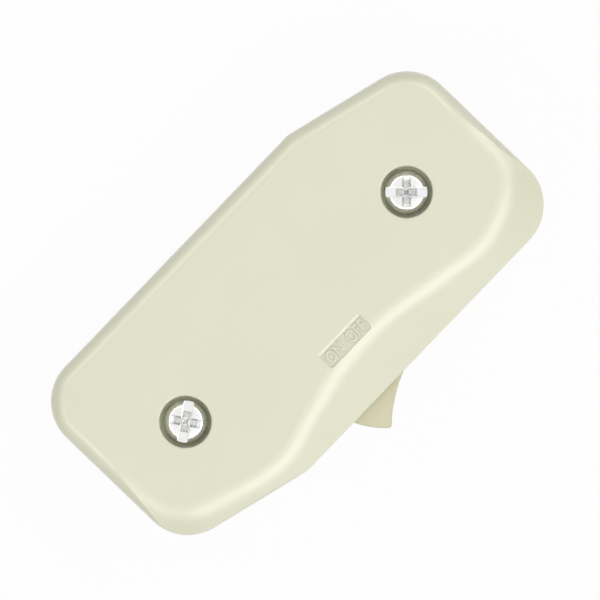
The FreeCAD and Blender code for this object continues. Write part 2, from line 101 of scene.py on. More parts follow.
@dataclass(frozen=True)
class Signal:
    """Output socket of a node that takes part in Python arithmetic.

    Args:
        graph: Graph that the socket belongs to.
        socket: The output socket itself.
    """

    graph: "Graph"
    socket: bpy.types.NodeSocket

    def _maths(self, operation: str, first: "Value", second: "Value") -> "Signal":
        """Adds a Math node on two values."""
        return self.graph.add("ShaderNodeMath", {"operation": operation}, {0: first, 1: second})

    def __add__(self, other: "Value") -> "Signal":
        """Sum of this and another value."""
        return self._maths("ADD", self, other)

    def __radd__(self, other: "Value") -> "Signal":
        """Sum of another value and this."""
        return self._maths("ADD", other, self)

    def __sub__(self, other: "Value") -> "Signal":
        """This less another value."""
        return self._maths("SUBTRACT", self, other)

    def __rsub__(self, other: "Value") -> "Signal":
        """Another value less this."""
        return self._maths("SUBTRACT", other, self)

    def __mul__(self, other: "Value") -> "Signal":
        """Product of this and another value."""
        return self._maths("MULTIPLY", self, other)

    def __rmul__(self, other: "Value") -> "Signal":
        """Product of another value and this."""
        return self._maths("MULTIPLY", other, self)

    def __abs__(self) -> "Signal":
        """This without its sign."""
        return self._maths("ABSOLUTE", self, 0.0)


Value = Union[float, Sequence[float], Signal]
Sockets = Mapping[Union[int, str], Value]


class Graph:
    """Node tree that is built node by node.

    Args:
        tree: Node tree of a material or a world.
    """

    def __init__(self, tree: bpy.types.NodeTree) -> None:
        """Keeps the tree with the shader and output nodes that it starts with."""
        self.tree = tree

    def feed(self, node: bpy.types.Node, inputs: Sockets) -> None:
        """Sets or links input sockets of a node.

        Args:
            node: Node whose inputs are set.
            inputs: Value or signal for each socket, by name or number.
        """
        for key, value in inputs.items():
            if isinstance(value, Signal):
                self.tree.links.new(value.socket, node.inputs[key])
            else:
                node.inputs[key].default_value = value

    def add(
        self,
        kind: str,
        settings: Optional[Mapping[str, Any]] = None,
        inputs: Optional[Sockets] = None,
        output: Union[int, str] = 0,
    ) -> Signal:
        """Adds a node.

        Args:
            kind: Node type.
            settings: Properties of the node, set first.
            inputs: Value or signal for each socket, by name or number.
            output: Socket that the signal comes from.

        Returns:
            Signal of the chosen output.
        """
        node = self.tree.nodes.new(kind)
        for key, value in (settings or {}).items():
            setattr(node, key, value)
        self.feed(node, inputs or {})
        return Signal(self, node.outputs[output])

    def place(self) -> Signal:
        """Place on the piece in metres, in the switch's own frame."""
        return self.add("ShaderNodeTexCoord", output="Object")

    def axis(self, place: Signal, name: str) -> Signal:
        """One of the X, Y and Z of a place."""
        return self.add("ShaderNodeSeparateXYZ", None, {0: place}, name)

    def noise(self, place: Signal, size: float, detail: float, rough: float = 0.5) -> Signal:
        """Pattern from 0 to 1, of clouds of a size in metres with octaves of finer ones."""
        sockets = {"Vector": place, "Scale": 1.0 / size, "Detail": detail, "Roughness": rough}
        return self.add("ShaderNodeTexNoise", None, sockets)

    def ramp(self, value: Signal, low: float, high: float) -> Signal:
        """Value stretched so that low becomes 0 and high becomes 1, kept within them."""
        sockets = {"Value": value, "From Min": low, "From Max": high}
        return self.add("ShaderNodeMapRange", {"clamp": True}, sockets)

    def blend(self, share: Value, first: Value, second: Value) -> Signal:
        """Mix of two colours, by a share of the second."""
        # The Mix node's sockets are numbered, since those of all data types share their names.
        return self.add("ShaderNodeMix", {"data_type": "RGBA"}, {0: share, 6: first, 7: second}, 2)

    def bump(self, height: Signal, depth: float, under: Optional[Signal] = None) -> Signal:
        """Surface relief.

        Args:
            height: Height between 0 and 1.
            depth: Depth that a height of 1 stands for, in metres.
            under: Coarser relief that this one lies on, if there is one.

        Returns:
            Signal of the surface normal.
        """
        sockets: Dict[Union[int, str], Value] = {
            "Height": height,
            "Distance": depth,
            "Strength": 1.0,
        }
        if under:
            sockets["Normal"] = under
        return self.add("ShaderNodeBump", None, sockets)


def new_material(name: str) -> Tuple[bpy.types.Material, Graph, bpy.types.Node]:
    """Starts a node material.

    Args:
        name: Name of the material.

    Returns:
        The material, its graph and its surface shader.
    """
    material = bpy.data.materials.new(name)
    material.use_nodes = True
    return material, Graph(material.node_tree), material.node_tree.nodes["Principled BSDF"]


def opaque(colour: Colour) -> Tuple[float, float, float, float]:
    """Colour with full cover for a socket."""
    return (*colour, 1.0)


@dataclass(frozen=True)
class MattPanelWithPaintedShade:
    """Sunken panel whose floor is left matt by the mould and darkened with painted shade.

    Args:
        middle: Middle of its floor, in metres.
        size: Length and width, in metres.
        depth: Depth below the face, in metres.
        fade: Width over which the matt and the painted shade stop at its walls, in metres.
        floor_band: Shares of the depth above the floor between which the matt and the painted
            shade stop.
        shade: Colour of the painted shade on the floor.
        shade_share: Share of that colour on the floor.
        dulling: Roughness that the matt adds.
    """

    middle: Tuple[float, float, float]
    size: Tuple[float, float]
    depth: float
    fade: float = 0.05 * MM
    floor_band: Tuple[float, float] = (0.3, 0.6)
    shade: Colour = (0.2, 0.2, 0.14)
    shade_share: float = 0.11
    dulling: float = 0.3

    def mask(self, graph: Graph, place: Signal) -> Signal:
        """One on the panel's floor and zero elsewhere.

        Args:
            graph: Graph that the mask is built in.
            place: Point on the piece.

        Returns:
            Signal of the mask.
        """
        low, high = (self.depth * share for share in self.floor_band)
        above = abs(graph.axis(place, "Z") - self.middle[2])
        inside = 1.0 - graph.ramp(above, low, high)
        for name, middle, size in zip("XY", self.middle, self.size):
            away = abs(graph.axis(place, name) - middle)
            inside = inside * (1.0 - graph.ramp(away, size / 2, size / 2 + self.fade))
        return inside


@dataclass(frozen=True)
class MouldedPlastic:
    """Glossy moulded plastic with faint flow clouds, a slight wave and a fine pebbled skin.

    Args:
        name: Name of the material.
        colour: Main colour.
        cloud: Colour of the slightly darker flow clouds.
        gloss: Mean roughness of the body.
        polish: Weight of the polished outer skin.
        polish_gloss: Roughness of the polished outer skin.
        wave: Height of the slow waves left by cooling, in metres.
        pebble: Height of the fine skin, in metres.
        panel: Panel whose floor is matt and darkened with painted shade, if there is one.
        cloud_size: Size of the flow clouds, in metres.
        cloud_band: Heights of the cloud pattern that become none and full.
        cloud_share: Share of the cloud colour in a full cloud.
        grain_size: Size of the specks and of the fine skin, in metres.
        speck_band: Heights of the speck pattern that become none and full.
        speck_share: Share of the cloud colour in a full speck.
        wave_size: Size of the slow waves, in metres.
        cloud_gloss: Spread of roughness from cloud to cloud.
        skin_gloss: Spread of roughness over the fine skin.
        refraction: Refractive index.
    """

    name: str
    colour: Colour
    cloud: Colour
    gloss: float
    polish: float
    polish_gloss: float
    wave: float
    pebble: float
    panel: Optional[MattPanelWithPaintedShade] = None
    cloud_size: float = 14 * MM
    cloud_band: Tuple[float, float] = (0.3, 0.75)
    cloud_share: float = 0.8
    grain_size: float = 0.3 * MM
    speck_band: Tuple[float, float] = (0.6, 0.85)
    speck_share: float = 0.05
    wave_size: float = 8 * MM
    cloud_gloss: float = 0.04
    skin_gloss: float = 0.03
    refraction: float = 1.5

    def material(self) -> bpy.types.Material:
        """Builds the node material.

        Returns:
            The new material.
        """
        material, graph, shader = new_material(self.name)
        place = graph.place()
        flow = graph.ramp(graph.noise(place, self.cloud_size, detail=3.0), *self.cloud_band)
        speck = graph.ramp(graph.noise(place, self.grain_size, detail=2.0), *self.speck_band)
        skin = graph.noise(place, self.grain_size, detail=3.0)
        slow = graph.noise(place, self.wave_size, detail=1.0)
        share = flow * self.cloud_share + speck * self.speck_share
        base = graph.blend(share, opaque(self.colour), opaque(self.cloud))
        rough = self.gloss + (flow - MEAN) * self.cloud_gloss + (skin - MEAN) * self.skin_gloss
        if self.panel:
            # The mask makes the panel's floor rougher and darkens its colour with painted shade.
            matt = self.panel.mask(graph, place)
            base = graph.blend(matt * self.panel.shade_share, base, opaque(self.panel.shade))
            rough = rough + matt * self.panel.dulling
        graph.feed(
            shader,
            {
                "Base Color": base,
                "Roughness": rough,
                "Normal": graph.bump(skin, self.pebble, graph.bump(slow, self.wave)),
                "IOR": self.refraction,
                "Coat Weight": self.polish,
                "Coat Roughness": self.polish_gloss,
            },
        )
        return material


@dataclass(frozen=True)
class WorkedMetal:
    """Metal with a cloudy tone, fine scratches along one direction and a soft tarnish.

    Args:
        name: Name of the material.
        colour: Main colour.
        tarnish: Colour of the duller clouds.
        gloss: Mean roughness.
        stretch: Scale of the scratch pattern along X, Y and Z.
        scratch: Height of the scratches, in metres.
        cloud_size: Size of the tarnish clouds, in metres.
        cloud_band: Heights of the cloud pattern that become none and full.
        cloud_share: Share of the tarnish colour in a full cloud.
        line_size: Length of the scratches, in metres.
        rough_detail: Strength of the finer clouds and scratches.
        cloud_gloss: Roughness that a full cloud adds.
        line_gloss: Spread of roughness over the scratches.
    """

    name: str
    colour: Colour
    tarnish: Colour
    gloss: float
    stretch: Tuple[float, float, float] = (1.0, 12.0, 12.0)
    scratch: float = 0.004 * MM
    cloud_size: float = 1.6 * MM
    cloud_band: Tuple[float, float] = (0.4, 0.75)
    cloud_share: float = 0.6
    line_size: float = 1.2 * MM
    rough_detail: float = 0.6
    cloud_gloss: float = 0.08
    line_gloss: float = 0.12

    def material(self) -> bpy.types.Material:
        """Builds the node material.

        Returns:
            The new material.
        """
        material, graph, shader = new_material(self.name)
        place = graph.place()
        drawn = graph.add("ShaderNodeMapping", None, {"Vector": place, "Scale": self.stretch})
        mottle = graph.noise(place, self.cloud_size, detail=4.0, rough=self.rough_detail)
        cloud = graph.ramp(mottle, *self.cloud_band)
        line = graph.noise(drawn, self.line_size, detail=4.0, rough=self.rough_detail)
        base = graph.blend(cloud * self.cloud_share, opaque(self.colour), opaque(self.tarnish))
        rough = self.gloss + cloud * self.cloud_gloss + (line - MEAN) * self.line_gloss
        graph.feed(
            shader,
            {
                "Base Color": base,
                "Metallic": 1.0,
                "Roughness": rough,
                "Normal": graph.bump(line, self.scratch),
            },
        )
        return material


Finish = Union[MouldedPlastic, WorkedMetal]

PANEL = MattPanelWithPaintedShade((0.7 * MM, -7.4 * MM, 17.75 * MM), (7.2 * MM, 2.6 * MM), 0.25 * MM)
IVORY = MouldedPlastic(
    "ivory_cover_plastic",
    (0.715, 0.715, 0.552),
    (0.695, 0.692, 0.525),
    gloss=0.45,
    polish=1.0,
    polish_gloss=0.29,
    wave=0.06 * MM,
    pebble=0.0004 * MM,
    panel=PANEL,
)
# Darker and yellower than the covers' ivory: partly the rocker's own tone, partly painted shade
# from the cover that overhangs it.
ROCKER_IVORY = MouldedPlastic(
    "ivory_rocker_plastic",
    (0.640, 0.612, 0.425),
    (0.610, 0.582, 0.398),
    gloss=0.42,
    polish=0.4,
    polish_gloss=0.25,
    wave=0.004 * MM,
    pebble=0.0002 * MM,
)
NYLON = MouldedPlastic(
    "white_nylon",
    (0.780, 0.770, 0.720),
    (0.720, 0.710, 0.650),
    gloss=0.42,
    polish=0.1,
    polish_gloss=0.3,
    wave=0.006 * MM,
    pebble=0.003 * MM,
)
ZINC = WorkedMetal("zinc_plate", (0.820, 0.825, 0.815), (0.620, 0.630, 0.640), 0.24)
NUT_ZINC = WorkedMetal("nut_zinc_plate", (0.760, 0.770, 0.770), (0.560, 0.570, 0.580), 0.34)
STEEL = WorkedMetal("spring_steel", (0.560, 0.550, 0.530), (0.400, 0.390, 0.370), 0.30)
BRASS = WorkedMetal("brass_strip", (0.800, 0.610, 0.290), (0.620, 0.430, 0.180), 0.28)
SCREW_BRASS = WorkedMetal("turned_brass", (0.820, 0.640, 0.320), (0.640, 0.450, 0.200), 0.24)
COPPER = WorkedMetal("sprung_copper", (0.880, 0.500, 0.340), (0.600, 0.280, 0.170), 0.27)
SILVER = WorkedMetal("contact_silver", (0.900, 0.890, 0.860), (0.660, 0.640, 0.600), 0.22)


def wear(piece: bpy.types.Object, finish: Finish) -> None:
    """Gives a piece a finish as its only material."""
    piece.data.materials.clear()
    piece.data.materials.append(finish.material())


def dress(node: str, finish: Finish) -> None:
    """Gives a CAD node a finish."""
    wear(frame["nodes"][node], finish)
    LOG.info("%s dressed in %s", node, finish.name)


def start_alone() -> None:
    """Leaves edit mode and deselects everything."""
    if bpy.context.mode != "OBJECT":
        bpy.ops.object.mode_set(mode="OBJECT")
    bpy.ops.object.select_all(action="DESELECT")


def pick(piece: bpy.types.Object) -> None:
    """Makes a piece the only selected one.

    Args:
        piece: Object to select.
    """
    start_alone()
    piece.select_set(True)
    bpy.context.view_layer.objects.active = piece


def edit_whole(piece: bpy.types.Object) -> None:
    """Enters edit mode with the whole of a piece selected.

    Args:
        piece: Mesh object.
    """
    pick(piece)
    bpy.ops.object.mode_set(mode="EDIT")
    bpy.ops.mesh.select_all(action="SELECT")


def close_outward() -> None:
    """Turns the faces of the mesh in edit mode outward and leaves edit mode."""
    bpy.ops.mesh.select_all(action="SELECT")
    bpy.ops.mesh.normals_make_consistent(inside=False)
    bpy.ops.object.mode_set(mode="OBJECT")


def new_block(size: Tuple[float, float, float], floor: float) -> bpy.types.Object:
    """Adds a block about the upright axis, in millimetres.

    Args:
        size: Size along X, Y and Z.
        floor: Height of its underside.

    Returns:
        The closed mesh object.
    """
    start_alone()
    bpy.ops.mesh.primitive_cube_add(size=1.0, location=ORIGIN)
    block = bpy.context.object
    edit_whole(block)
    bpy.ops.transform.resize(value=size, center_override=ORIGIN)
    bpy.ops.transform.translate(value=(0.0, 0.0, floor + size[2] / 2))
    bpy.ops.object.mode_set(mode="OBJECT")
    return block


def pick_edges(piece: bpy.types.Object, test: Callable[[Vector, Vector], bool]) -> None:
    """Enters edit mode with the edges selected whose two ends pass a test.

    Args:
        piece: Mesh object.
        test: Takes the two ends of an edge and says whether it is wanted.
    """
    pick(piece)
    bpy.ops.object.mode_set(mode="EDIT")
    bpy.ops.mesh.select_mode(type="EDGE")
    bpy.ops.mesh.select_all(action="DESELECT")
    bpy.ops.object.mode_set(mode="OBJECT")
    points = piece.data.vertices
    for edge in piece.data.edges:
        edge.select = test(points[edge.vertices[0]].co, points[edge.vertices[1]].co)
    bpy.ops.object.mode_set(mode="EDIT")


def raise_ring(rise: float, spread: Tuple[float, float], level: float) -> None:
    """Extrudes the selected face upward to a level and spreads it along X and Y."""
    bpy.ops.mesh.extrude_region_move(TRANSFORM_OT_translate={"value": (0.0, 0.0, rise)})
    bpy.ops.transform.resize(value=(*spread, 1.0), center_override=(0.0, 0.0, level))


def turn_profile(profile: Sequence[Tuple[float, float]], sides: int) -> bpy.types.Object:
    """Builds a turned solid about the upright axis by extruding a disc through a profile.

    Args:
        profile: Radius and height of each ring, from the bottom up.
        sides: Sides of each ring.

    Returns:
        The closed mesh object.
    """
    start_alone()
    radius, height = profile[0]
    bpy.ops.mesh.primitive_circle_add(
        vertices=sides, radius=radius, fill_type="NGON", location=ORIGIN
    )
    piece = bpy.context.object
    edit_whole(piece)
    bpy.ops.transform.translate(value=(0.0, 0.0, height))
    for (inner, low), (outer, high) in zip(profile, profile[1:]):
        share = outer / inner
        raise_ring(high - low, (share, share), high)
    close_outward()
    return piece


@dataclass(frozen=True)
class Wedge:
    """Bar that narrows toward its foot, for cutting a driver recess, in millimetres.

    Args:
        length: Length at the top.
        width: Width at the top.
        foot_length: Length at the foot.
        foot_width: Width at the foot.
        top: Height of the top from the top of the head.
        foot: Height of the foot from the top of the head.
    """

    length: float
    width: float
    foot_length: float
    foot_width: float
    top: float
    foot: float

    def build(self, head_top: float) -> bpy.types.Object:
        """Builds the bar under the top of a head.

        Args:
            head_top: Height of the top of the head.

        Returns:
            The closed mesh object.
        """
        start_alone()
        bpy.ops.mesh.primitive_plane_add(size=1.0, location=ORIGIN)
        bar = bpy.context.object
        low, high = head_top + self.foot, head_top + self.top
        foot = (self.foot_length, self.foot_width, 1.0)
        spread = (self.length / self.foot_length, self.width / self.foot_width)
        edit_whole(bar)
        bpy.ops.transform.resize(value=foot, center_override=ORIGIN)
        bpy.ops.transform.translate(value=(0.0, 0.0, low))
        raise_ring(high - low, spread, high)
        close_outward()
        return bar


def carve(piece: bpy.types.Object, cut: Cut, tool: bpy.types.Object) -> None:
    """Carves one mesh with another and deletes the tool.

    Args:
        piece: Mesh that loses material.
        cut: Side of the tool's surface that is lost.
        tool: Closed mesh.
    """
    pick(piece)
    step = piece.modifiers.new("carving", "BOOLEAN")
    step.operation = cut.value
    step.solver = "EXACT"
    step.object = tool
    bpy.ops.object.modifier_apply(modifier=step.name)
    bpy.data.objects.remove(tool)


def settle(piece: bpy.types.Object, place: Sequence[float] = ORIGIN, turn: float = 0.0) -> None:
    """Puts a mesh made in millimetres in its place and leaves its object at the origin.

    Args:
        piece: Mesh object modelled about the origin.
        place: Where its origin goes, in metres.
        turn: Turn about the upright axis, in degrees.
    """
    pick(piece)
    piece.location = place
    piece.rotation_euler = (0.0, 0.0, math.radians(turn))
    piece.scale = (MM, MM, MM)
    bpy.ops.object.transform_apply(location=True, rotation=True, scale=True)


def smooth(piece: bpy.types.Object, angle: float) -> None:
    """Shades a mesh smooth across edges below an angle in degrees."""
    pick(piece)
    bpy.ops.object.shade_smooth_by_angle(angle=math.radians(angle))


def even_normals(piece: bpy.types.Object) -> None:
    """Keeps large flat faces flat in the shading beside their rounded edges.

    Args:
        piece: Mesh object, already shaded smooth.
    """
    pick(piece)
    step = piece.modifiers.new("even_normals", "WEIGHTED_NORMAL")
    step.keep_sharp = True
    bpy.ops.object.modifier_apply(modifier=step.name)


def fit(piece: bpy.types.Object, name: str, body: Body, finish: Finish) -> None:
    """Names a finished piece, dresses it and lets it ride on a body.

    Args:
        piece: Finished mesh object.
        name: Name of the piece.
        body: Body that it moves with.
        finish: Finish to wear.
    """
    piece.name = name
    piece.data.name = name
    wear(piece, finish)
    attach(piece, body.value)
    LOG.info("%s fitted in %s", name, finish.name)


def merged_copy(node: str) -> bpy.types.Object:
    """Copies a CAD node's mesh with its triangles joined into clean faces.

    Args:
        node: Name of the CAD node.

    Returns:
        The new mesh object, in millimetres.
    """
    start_alone()
    mesh = frame["nodes"][node].data.copy()
    piece = bpy.data.objects.new(node + "_copy", mesh)
    bpy.context.scene.collection.objects.link(piece)
    pick(piece)
    piece.scale = (1.0 / MM, 1.0 / MM, 1.0 / MM)
    bpy.ops.object.transform_apply(location=True, rotation=True, scale=True)
    if mesh.has_custom_normals:
        bpy.ops.mesh.customdata_custom_splitnormals_clear()
    edit_whole(piece)
    bpy.ops.mesh.remove_doubles(threshold=MERGE_MM)
    bpy.ops.mesh.dissolve_limited(angle_limit=math.radians(FLAT_DEGREES))
    bpy.ops.object.mode_set(mode="OBJECT")
    return piece


@dataclass
class PanelBank:
    """Rounded slope along the panel's far wall, as the mould leaves it, in millimetres.

    Args:
        width: How far it comes out from the wall.
        height: Height at the wall, a hair under the face.
        corner: Radius of the panel's corners.
        steps: Steps of the slope and of the corners.
        play: How far the outline stays inside the panel's walls.
        roll_share: Share of the height that the slope takes up.
        trim_height: Height of the block that trims the slope, more than the panel's depth.
        soft_angle: Angle below which edges are shaded smooth, in degrees.
    """

    width: float = 0.56
    height: float = 0.249
    corner: float = 0.43
    steps: int = 10
    play: float = 0.001
    roll_share: float = 0.995
    trim_height: float = 1.0
    soft_angle: float = 40.0

    def build(self) -> None:
        """Rolls the slope, trims it to the panel's outline and fits it in the panel."""
        bank = self.roll()
        carve(bank, Cut.OUTSIDE, self.outline())
        settle(bank, PANEL.middle)
        smooth(bank, self.soft_angle)
        fit(bank, "panel_bank", Body.HOUSING, IVORY)

    def roll(self) -> bpy.types.Object:
        """Rounds one edge of a square bar and widens it to the slope.

        Returns:
            The closed mesh object along the panel's far side.
        """
        length, panel_width = (size / MM for size in PANEL.size)
        bar = new_block((length, self.height, self.height), 0.0)
        pick_edges(bar, lambda first, last: max(first.y, last.y) < 0.0 < min(first.z, last.z))
        bpy.ops.mesh.bevel(
            offset=self.height * self.roll_share, segments=self.steps, affect="EDGES"
        )
        bpy.ops.object.mode_set(mode="OBJECT")
        edit_whole(bar)
        widen = (1.0, self.width / self.height, 1.0)
        bpy.ops.transform.resize(value=widen, center_override=ORIGIN)
        bpy.ops.transform.translate(value=(0.0, (panel_width - self.width) / 2, 0.0))
        bpy.ops.object.mode_set(mode="OBJECT")
        return bar

    def outline(self) -> bpy.types.Object:
        """Builds a block with the panel's rounded outline.

        Returns:
            The closed mesh object.
        """
        length, panel_width = (size / MM - 2 * self.play for size in PANEL.size)
        half = self.trim_height / 2
        block = new_block((length, panel_width, self.trim_height), -half)
        pick_edges(block, lambda first, last: abs(first.z - last.z) > half)
        bpy.ops.mesh.bevel(offset=self.corner, segments=self.steps, affect="EDGES")
        bpy.ops.object.mode_set(mode="OBJECT")
        return block


@dataclass
class PanelMarks:
    """Raised words in the sunken panel that say which way the rocker goes.

    Args:
        words: Each word and its place along the panel, in millimetres.
        shift: Place across the panel, toward the far side, in millimetres.
        size: Type size, in millimetres.
        narrow: Width of the letters against their usual width.
        relief: Height above the panel's floor, in millimetres.
        rounding: Rounding of the letters' edges, in millimetres.
        rounding_steps: Steps of that rounding.
        curve_steps: Steps of each curve of a letter.
        soft_angle: Angle below which edges are shaded smooth, in degrees.
    """

    words: Tuple[Tuple[str, float], ...] = (("ON", -1.87), ("OFF", 1.75))
    shift: float = -0.26
    size: float = 2.2
    narrow: float = 0.76
    relief: float = 0.2
    rounding: float = 0.04
    rounding_steps: int = 2
    curve_steps: int = 6
    soft_angle: float = 40.0

    def build(self) -> None:
        """Sets the words, makes them one mesh and fits it in the panel."""
        letters = [self.set_word(word, along) for word, along in self.words]
        start_alone()
        for letter in letters:
            letter.select_set(True)
        marks = letters[0]
        bpy.context.view_layer.objects.active = marks
        bpy.ops.object.join()
        edit_whole(marks)
        bpy.ops.mesh.remove_doubles(threshold=MERGE_MM)
        bpy.ops.object.mode_set(mode="OBJECT")
        settle(marks, Vector(PANEL.middle) + Vector((0.0, self.shift * MM, 0.0)))
        smooth(marks, self.soft_angle)
        fit(marks, "panel_marks", Body.HOUSING, IVORY)

    def set_word(self, word: str, along: float) -> bpy.types.Object:
        """Makes one word a mesh that stands on the panel's floor.

        Args:
            word: The word.
            along: Place of its middle along the panel.

        Returns:
            The mesh object, in millimetres from the panel's middle.
        """
        start_alone()
        bpy.ops.object.text_add(location=ORIGIN)
        text = bpy.context.object
        text.data.body = word
        text.data.size = self.size
        text.data.align_x = "CENTER"
        text.data.align_y = "CENTER"
        text.data.resolution_u = self.curve_steps
        text.data.extrude = self.relief / 2 - self.rounding
        text.data.bevel_depth = self.rounding
        text.data.bevel_resolution = self.rounding_steps
        bpy.ops.object.convert(target="MESH")
        pick(text)
        text.location = (along, 0.0, self.relief / 2)
        text.scale = (self.narrow, 1.0, 1.0)
        bpy.ops.object.transform_apply(location=True, rotation=True, scale=True)
        return text


@dataclass
class Case:
    """Two moulded covers that close the switch, with the slope and the words in the panel.

    Args:
        finish: Finish of both covers.
        nodes: CAD nodes of the covers.
        bank: Slope along the panel's far wall.
        marks: Words in the panel.
    """

    finish: MouldedPlastic = IVORY
    nodes: Tuple[str, ...] = ("rear_cover", "front_cover")
    bank: PanelBank = field(default_factory=PanelBank)
    marks: PanelMarks = field(default_factory=PanelMarks)

    def build(self) -> None:
        """Dresses both covers and adds the slope and the words."""
        for node in self.nodes:
            dress(node, self.finish)
        self.bank.build()
        self.marks.build()


@dataclass
class RockerAssembly:
    """Rocker with its plunger and spring.

    Args:
        rounding: Rounding of the rocker's outer edges, in millimetres.
        segments: Steps of that rounding.
        cheeks: Heights of the rocker's two flat sides, in millimetres.
        case_side: Y inside which the rims stay sharp, in millimetres.
        slack: How far from a cheek an edge may lie and still be its rim, in millimetres.
        rocker_angle: Angle below which the rocker's edges are shaded smooth, in degrees.
        coil_angle: The same angle for the spring.
        slide: Joint that the plunger slides on.
    """

    rounding: float = 0.26
    segments: int = 4
    cheeks: Tuple[float, float] = (5.0, 13.0)
    case_side: float = -11.5
    slack: float = 0.01
    rocker_angle: float = 35.0
    coil_angle: float = 50.0
    slide: str = "plunger_slide"

    def build(self) -> None:
        """Rounds the rocker, dresses the plunger and replaces the spring by a smooth-shaded copy.
        """
        self.round_rocker()
        dress("plunger", NYLON)
        self.coil_spring()

    def round_rocker(self) -> None:
        """Replaces the rocker by a copy whose rims are rounded as moulded."""
        piece = merged_copy("rocker")
        pick_edges(piece, self.on_rim)
        bpy.ops.mesh.bevel(
            offset=self.rounding, segments=self.segments, affect="EDGES", clamp_overlap=False
        )
        bpy.ops.object.mode_set(mode="OBJECT")
        settle(piece)
        smooth(piece, self.rocker_angle)
        even_normals(piece)
        fit(piece, "rocker_moulding", Body.ROCKER, ROCKER_IVORY)
        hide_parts("rocker")

    def coil_spring(self) -> None:
        """Replaces the spring by a smooth-shaded copy that rides on the rocker."""
        piece = merged_copy("plunger_spring")
        settle(piece)
        smooth(piece, self.coil_angle)
        fit(piece, "plunger_coil", Body.ROCKER, STEEL)
        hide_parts("plunger_spring")
        slide = next(joint for joint in frame["joints"] if joint["name"] == self.slide)
        axis = Vector(slide["axis"]).normalized()
        reach = [vertex.co.dot(axis) for vertex in piece.data.vertices]
        keep = 1.0 - slide["range_m"][1] / (max(reach) - min(reach))
        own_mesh(piece)

    def on_rim(self, first: Vector, last: Vector) -> bool:
        """Tells the rims of the cheeks from the rocker's other edges.

        Args:
            first: One end of an edge.
            last: Its other end.

        Returns:
            True for an edge along the rim of a cheek, outside the case's side.
        """
        outside = max(first.y, last.y) < self.case_side
        away = min(max(abs(first.z - level), abs(last.z - level)) for level in self.cheeks)
        return outside and away < self.slack


@dataclass
class CoverScrew:
    """Plated round-headed screw with a slot and a deeper tapered cross, in millimetres.

    Args:
        node: CAD node that it stands for.
        turn: Turn of its slot, in degrees.
        sides: Sides of the turned rings.
        shank_radius: Radius of the shank.
        tip_chamfer: Chamfer at the tip of the shank.
        seat_radius: Radius of the head where it bears on the cover.
        head_height: Height of the head.
        flank: Radius and height over the seat of each ring of the head.
        recess: Bars that are cut out of the head.
        soft_angle: Angle below which edges are shaded smooth, in degrees.
    """

    node: str
    turn: float
    sides: int = 96
    shank_radius: float = 1.4
    tip_chamfer: float = 0.35
    seat_radius: float = 2.7
    head_height: float = 2.1
    flank: Tuple[Tuple[float, float], ...] = (
        (2.80, 0.10),
        (2.80, 0.50),
        (2.77, 0.85),
        (2.70, 1.20),
        (2.58, 1.52),
        (2.40, 1.80),
        (2.20, 1.99),
        (2.02, 2.08),
        (1.90, 2.10),
    )
    recess: Tuple[Wedge, ...] = (
        Wedge(7.0, 1.42, 7.0, 1.16, 0.10, -0.62),  # slot
        Wedge(1.22, 3.75, 0.62, 3.40, 0.10, -0.45),  # shallow arms across the slot
        Wedge(2.70, 1.00, 0.90, 0.45, -0.58, -1.45),  # deep arms along the slot
        Wedge(0.66, 3.00, 0.42, 0.95, -0.40, -1.45),  # deep arms across the slot
        Wedge(0.95, 0.95, 0.08, 0.08, -1.20, -2.10),  # pit for the driver's point
    )
    soft_angle: float = 30.0

    def build(self) -> None:
        """Turns the screw, cuts its recesses and sets it in place of the CAD node."""
        low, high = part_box(self.node)
        length = (high.z - low.z) / MM
        seat = length - self.head_height
        profile = [
            (self.shank_radius - self.tip_chamfer, 0.0),
            (self.shank_radius, self.tip_chamfer),
            (self.shank_radius, seat),
            (self.seat_radius, seat),
        ]
        profile += [(radius, seat + height) for radius, height in self.flank]
        screw = turn_profile(profile, self.sides)
        for wedge in self.recess:
            carve(screw, Cut.INSIDE, wedge.build(length))
        smooth(screw, self.soft_angle)
        middle = (low + high) / 2
        settle(screw, (middle.x, middle.y, low.z), self.turn)
        fit(screw, self.node + "_turned", Body.HOUSING, ZINC)
        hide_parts(self.node)


@dataclass
class Fastening:
    """Screws and nuts that hold the covers together.

    Args:
        screws: Screws whose heads show in the rear cover.
        nuts: CAD nodes of the nuts in the front cover.
    """

    screws: Tuple[CoverScrew, ...] = (
        CoverScrew("cover_screw_right", -46.0),
        CoverScrew("cover_screw_left", 34.0),
    )
    nuts: Tuple[str, ...] = ("cover_nut_right", "cover_nut_left")

    def build(self) -> None:
        """Builds the screws and dresses the nuts."""
        for screw in self.screws:
            screw.build()
        for node in self.nuts:
            dress(node, NUT_ZINC)


@dataclass
class Works:
    """Contacts, terminals and binding screws inside the covers.

    Args:
        finishes: Each CAD node and its finish.
    """

    finishes: Tuple[Tuple[str, WorkedMetal], ...] = (
        ("seesaw_contact", COPPER),
        ("moving_contact", SILVER),
        ("fixed_contact", SILVER),
        ("load_terminal", BRASS),
        ("line_terminal", BRASS),
        ("load_terminal_screw", SCREW_BRASS),
        ("line_terminal_screw", SCREW_BRASS),
    )

    def build(self) -> None:
        """Dresses each node in its metal."""
        for node, finish in self.finishes:
            dress(node, finish)


